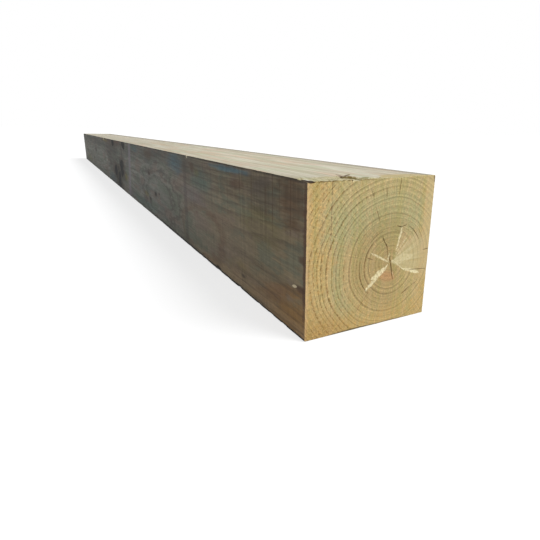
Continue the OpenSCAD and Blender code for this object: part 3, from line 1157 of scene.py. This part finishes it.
def dark_side_colour(g, d, y, z, late, saw):
    """Grey-brown weathered side, partly painted shade, with its stains, patches of painted shade, knots,
    sticker line and strap mark.
    """
    long_tone = g.noise((200, 12), 4, 0.7)
    hue = g.noise((100, 30), 3, 0.65)
    fibre = g.noise((40, 2.2), 3, 0.75)
    mottle = g.noise((12, 5), 3, 0.7)
    edge = g.noise((40, 12), 4, 0.7)
    tone = g.less(g.smooth(long_tone, 0.38, 0.62), 0.5)
    calm = g.times(g.before(z, 125, 155), g.fade(d, 0.5, 1.0))
    tone = g.sum(0.5, g.times(tone, g.flip(g.times(calm, 0.55))))
    # base colours of the weathered wood, darkened in part by painted shade
    near = g.mix(tone, (115, 102, 80), (137, 124, 99))
    far = g.mix(tone, (100, 101, 96), (129, 129, 121))
    coat = Coat(g, g.mix(g.smooth(d, 0.0, 0.9), near, far))
    # painted shade on the upper part of the side, from 1.3 m behind the end
    coat.darken(g.smooth(d, 1.3, 1.7), g.past(z, 115, 165), 0.30)
    coat.paint((122, 106, 96), g.smooth(hue, 0.50, 0.62), 0.5)
    coat.paint((98, 106, 92), g.fade(hue, 0.38, 0.49), 0.5)
    coat.darken(g.past(z, 125, 190), 0.22)
    # stains, and patches of painted shade
    for *place, lean, colour, strength in STAINS_AND_SHADE:
        coat.paint(colour, oval(g, d, z, edge, *mm(*place), lean), strength)
    straight = 1.0
    for *place, count, strength, colour in LOOPS:
        inside, lines = ring_loops(g, d, z, hue, *mm(*place), count)
        coat.paint(colour, lines, strength)
        straight = g.times(g.flip(g.times(inside, 0.85)), straight)
    coat.paint((74, 64, 54), late, straight, g.sum(0.12, g.times(edge, 0.4)))
    coat.vary(fibre, 0.62, 0.76)
    coat.vary(mottle, 0.76, 0.48)
    saw_zone = g.sum(0.6, g.times(g.past(z, 100, 150), g.fade(d, 0.15, 0.5), 0.8))
    coat.shade(g.sum(1.0, g.swing(saw, saw_zone)))
    for at, half, strength in DARK_LINES:
        line = g.before(g.off(d, at), 0.4 * half, half)
        coat.paint((66, 44, 32), line, g.past(z, 95, 150), g.smooth(edge, 0.3, 0.55), strength)
    # strap mark, sticker line and the dark line under the upper arris
    coat.paint((132, 126, 132), slanted_line(g, d, z, 1270, 1352, 34), 0.58)
    coat.paint((68, 66, 62), slanted_line(g, d, z, 526, 536, 17), 0.38)
    arris = g.times(g.past(z, TOP - 5.0, TOP - 1.8), g.smooth(edge, 0.30, 0.60))
    coat.paint((48, 42, 36), arris, 0.85)
    foot = g.before(z, 2, 14)
    coat.shade(g.sum(1.0, g.times(foot, g.swing(mottle, 1.6))))
    ragged = g.noise((9, 9), 2, 0.6)
    across, up = g.less(y, PITH_Y), g.less(z, PITH_Z)
    for at, height, radius, strength in KNOTS:
        run = np.array([-HALF_W - PITH_Y, height * MM - PITH_Z])
        reach = math.hypot(*run)
        core, halo, rings = knot(g, d, across, up, ragged, at * MM, *(run / reach), reach, radius * MM)
        coat.paint((66, 62, 54), halo, 0.5 * strength)
        wood = g.mix(g.smooth(rings, -1.0, 1.0), (24, 22, 20), (42, 38, 32))
        coat.paint(wood, core, 0.95 * strength)
    breaks = [(d0 / BREAK_RUN, z0, d1 / BREAK_RUN, z1, half, (14, 13, 12), strength)
              for d0, z0, d1, z1, half, strength in BREAKS]
    coat.strokes(g.times(d, 1 / BREAK_RUN), z, breaks)
    coat.strokes(d, z, CHIPS)
    return coat.colour


def late_wood(g, bent):
    """How far a place lies in its ring's late wood, and a number of the ring's own."""
    count = g.sum(g.math("DIVIDE", bent, RING_STEP), RING_START)
    part = g.math("FRACT", count)
    whole = g.math("FLOOR", count)
    late = g.times(g.smooth(part, *LATE_START), g.fade(part, *LATE_STOP))
    return late, g.add("ShaderNodeTexWhiteNoise", {"W": whole}, noise_dimensions="1D")["Value"]


def saw_marks(g, x, z):
    """Uneven lines across every long face, a few millimetres apart."""
    leaning = g.sum(x, g.times(z, 0.03))
    fine = g.line_noise(leaning, 3 * MM, 2, 0.6)
    wide = g.line_noise(leaning, 11 * MM, 2, 0.5)
    rub = g.noise((18, 30), 3, 0.6)
    lines = g.sum(g.times(fine, 0.5), g.times(wide, 0.5))
    return g.sum(0.5, g.times(g.less(lines, 0.5), g.smooth(rub, 0.3, 0.6)))


def torn_hollow(g, d, y, z, is_end):
    """The splinter's bed, below the top face, which takes painted shade."""
    depth = g.less(TOP_Z, z)
    hollow = g.times(g.past(depth, 0.7, 1.1), g.before(depth, 3, 4))
    hollow = g.times(hollow, g.past(y, -39, -37), g.before(y, -25, -23))
    return g.times(hollow, g.past(d, 10, 15), g.before(d, 28, 36), g.flip(is_end))


def contact_shadow(g, d, y, z, is_end):
    """Painted contact shadow along the lower -Y arris, taller but fainter away from the end."""
    above = g.math("DIVIDE", z, g.sum(3.3 * MM, g.times(d, 4.6 * MM)))
    shown = g.times(g.fade(above, 0.8, 1.2), g.flip(is_end))
    shown = g.times(shown, g.before(y, 3 - SIDE, 6 - SIDE))
    return g.times(shown, g.flip(g.times(g.smooth(d, 0.7, 1.0), 0.75)))


def faces_colour(g, d, y, z, facing, is_end, end, top, plain, dark):
    """Each long face's weathered colour on its skin, partly painted shade on the dark side, and fresh wood
    deeper down.
    """
    ny, nz = facing[1], facing[2]
    on_top = g.times(g.smooth(nz, 0.35, 0.75), g.past(z, TOP - 1.3 * SKIN, TOP - SKIN))
    on_dark = g.times(g.smooth(g.times(ny, -1.0), 0.3, 0.7), g.before(y, SKIN - SIDE, 1.3 * SKIN - SIDE))
    on_far = g.times(g.smooth(ny, 0.3, 0.7), g.past(y, SIDE - 1.3 * SKIN, SIDE - SKIN))
    on_under = g.times(g.smooth(g.times(nz, -1.0), 0.3, 0.7), g.before(z, SKIN, 1.3 * SKIN))
    # bark and painted shade inside the wane scoops
    bark_and_shade = g.times(g.before(z, 6, 9), g.before(y, 6 - SIDE, 9 - SIDE))
    coat = Coat(g, g.mix(0.4, end, (206, 184, 128)))
    coat.paint((62, 50, 38), bark_and_shade)
    coat.paint(end, is_end)
    coat.paint(plain, g.math("MAXIMUM", on_far, on_under))
    coat.paint(top, on_top)
    coat.paint(dark, on_dark)
    # painted shade on the splinter's bed
    coat.paint((104, 88, 42), torn_hollow(g, d, y, z, is_end), 0.85)
    # painted contact shadow along the lower -Y arris
    coat.paint((22, 18, 15), contact_shadow(g, d, y, z, is_end), 0.95)
    return coat.colour


def clean_graph(owner):
    """Empty node graph of a material or world."""
    owner.use_nodes = True
    owner.node_tree.nodes.clear()
    return Graph(owner.node_tree)


def timber_material():
    made = bpy.data.materials.new("treated_pine_grain")
    g = clean_graph(made)
    g.point = g.add("ShaderNodeTexCoord")["Object"]
    x, y, z = g.add("ShaderNodeSeparateXYZ", {0: g.point})
    facing = g.add("ShaderNodeSeparateXYZ", {0: g.add("ShaderNodeNewGeometry")["Normal"]})
    d, u, w, r, bent = ring_fields(g, x, y, z)
    late, ring_tone = late_wood(g, bent)
    saw = saw_marks(g, x, z)
    end = end_colour(g, y, z, u, w, r, bent, late, ring_tone)
    top = top_colour(g, d, y, late, end)
    plain = plain_side_colour(g, late, saw)
    dark = dark_side_colour(g, d, y, z, late, saw)
    is_end = g.smooth(g.math("ABSOLUTE", facing[0]), 0.5, 0.8)
    colour = faces_colour(g, d, y, z, facing, is_end, end, top, plain, dark)

    # relief, in metres
    fuzz = g.noise((30, 0.9), 3, 0.7)
    grit = g.noise((1, 1), 3, 0.7)
    side_height = g.sum(g.times(fuzz, 0.22 * MM), g.times(saw, 0.45 * MM), g.times(late, 0.10 * MM))
    end_height = g.sum(g.times(grit, 0.25 * MM), g.times(late, 0.15 * MM))
    height = g.sum(g.times(end_height, is_end), g.times(side_height, g.flip(is_end)))
    bump = g.add("ShaderNodeBump", {"Strength": 1.0, "Distance": 1.0, "Height": height})[0]
    rough = g.sum(0.72, g.times(fuzz, 0.2))
    look = {"Base Color": colour, "Roughness": rough, "Specular IOR Level": 0.25, "Normal": bump}
    shader = g.add("ShaderNodeBsdfPrincipled", look)[0]
    g.add("ShaderNodeOutputMaterial", {"Surface": shader})
    return made


def build_beam():
    points, faces = box_skin()
    points, normals = rounded(points)
    points = points - normals * relief(points, normals)[:, None]
    points = tear(points)
    beam = mesh_object("sawn_beam", points, faces)
    cut(beam, cutter_object())
    bake_map(beam.data)
    beam.data.materials.clear()
    beam.data.materials.append(timber_material())
    beam.data.polygons.foreach_set("use_smooth", np.ones(len(beam.data.polygons), bool))
    beam.data.set_sharp_from_angle(angle=math.radians(40))
    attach(beam, "root")
    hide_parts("beam")
    return beam


# ---------------------------------------------------------------- camera, floor and light
# Camera's place in section heights: before the end, to its side and up
CAMERA_BEFORE_END = 2.0926
CAMERA_ASIDE = -1.7227
CAMERA_UP = 1.2700
CAMERA_AZIMUTH = 59.91
CAMERA_ELEVATION = 16.32
CAMERA_ROLL = 1.03
CAMERA_LENS = 28.62
CAMERA_SHIFT = (-0.0637, -0.0255)

FLOOR_SIZE = 60.0
FLOOR_DROP = 0.2 * MM
KEY_STRENGTH = 2.6
KEY_SPREAD = 30
FILL_STRENGTH = 0.42
KEY_FROM = Vector((0.50, 0.42, 0.78))


def make_camera():
    """Camera at the photograph's viewing angle."""
    data = bpy.data.cameras.new("camera")
    data.lens = CAMERA_LENS
    data.sensor_width = 36.0
    data.shift_x, data.shift_y = CAMERA_SHIFT
    data.clip_start = 0.01
    data.clip_end = 200.0
    camera = add_object("camera", data)
    azimuth, elevation = math.radians(CAMERA_AZIMUTH), math.radians(CAMERA_ELEVATION)
    back = Vector((math.sin(azimuth) * math.cos(elevation),
                   -math.cos(azimuth) * math.cos(elevation), math.sin(elevation)))
    turn = (-back).to_track_quat("-Z", "Y").to_matrix()
    roll = Matrix.Rotation(math.radians(CAMERA_ROLL), 3, back)
    place = (END_X + CAMERA_BEFORE_END * TOP_Z, CAMERA_ASIDE * TOP_Z, CAMERA_UP * TOP_Z)
    camera.matrix_world = Matrix.Translation(place) @ (roll @ turn).to_4x4()
    bpy.context.scene.camera = camera


def seen_share(g):
    """1 for camera, glossy and transmission rays, 0 for the rays that only carry light."""
    path = g.add("ShaderNodeLightPath")
    seen = g.math("MAXIMUM", path["Is Camera Ray"], path["Is Glossy Ray"])
    return g.math("MAXIMUM", seen, path["Is Transmission Ray"])


def make_floor():
    """Pale floor, which the camera sees a little brighter than it lights the beam."""
    far = FLOOR_SIZE
    corners = [(-far, -far, 0), (far, -far, 0), (far, far, 0), (-far, far, 0)]
    floor = mesh_object("floor", corners, [(0, 1, 2, 3)])
    floor.location.z = cad_low.z - FLOOR_DROP
    made = bpy.data.materials.new("pale_floor")
    g = clean_graph(made)
    plain = g.add("ShaderNodeBsdfDiffuse", {"Color": (0.72, 0.72, 0.72, 1)})[0]
    faint = g.add("ShaderNodeBsdfDiffuse", {"Color": (0.34, 0.34, 0.34, 1)})[0]
    glow = g.add("ShaderNodeEmission", {"Strength": 0.72})[0]
    both = g.add("ShaderNodeAddShader", {0: faint, 1: glow})[0]
    mixed = g.add("ShaderNodeMixShader", {0: seen_share(g), 1: plain, 2: both})[0]
    g.add("ShaderNodeOutputMaterial", {"Surface": mixed})
    floor.data.materials.append(made)


def make_light():
    data = bpy.data.lights.new("key", "SUN")
    data.energy = KEY_STRENGTH
    data.angle = math.radians(KEY_SPREAD)
    key = add_object("key", data)
    key.rotation_mode = "QUATERNION"
    key.rotation_quaternion = (-KEY_FROM).to_track_quat("-Z", "Y")
    world = bpy.data.worlds.new("studio")
    g = clean_graph(world)
    white = g.add("ShaderNodeBackground", {"Strength": 1.0, "Color": (1, 1, 1, 1)})[0]
    fill = g.add("ShaderNodeBackground", {"Strength": FILL_STRENGTH, "Color": (0.97, 0.985, 1.0, 1)})[0]
    mixed = g.add("ShaderNodeMixShader", {0: seen_share(g), 1: fill, 2: white})[0]
    g.add("ShaderNodeOutputWorld", {"Surface": mixed})
    bpy.context.scene.world = world


make_camera()
make_floor()
make_light()
build_beam()
bpy.context.scene.view_settings.view_transform = "Standard"
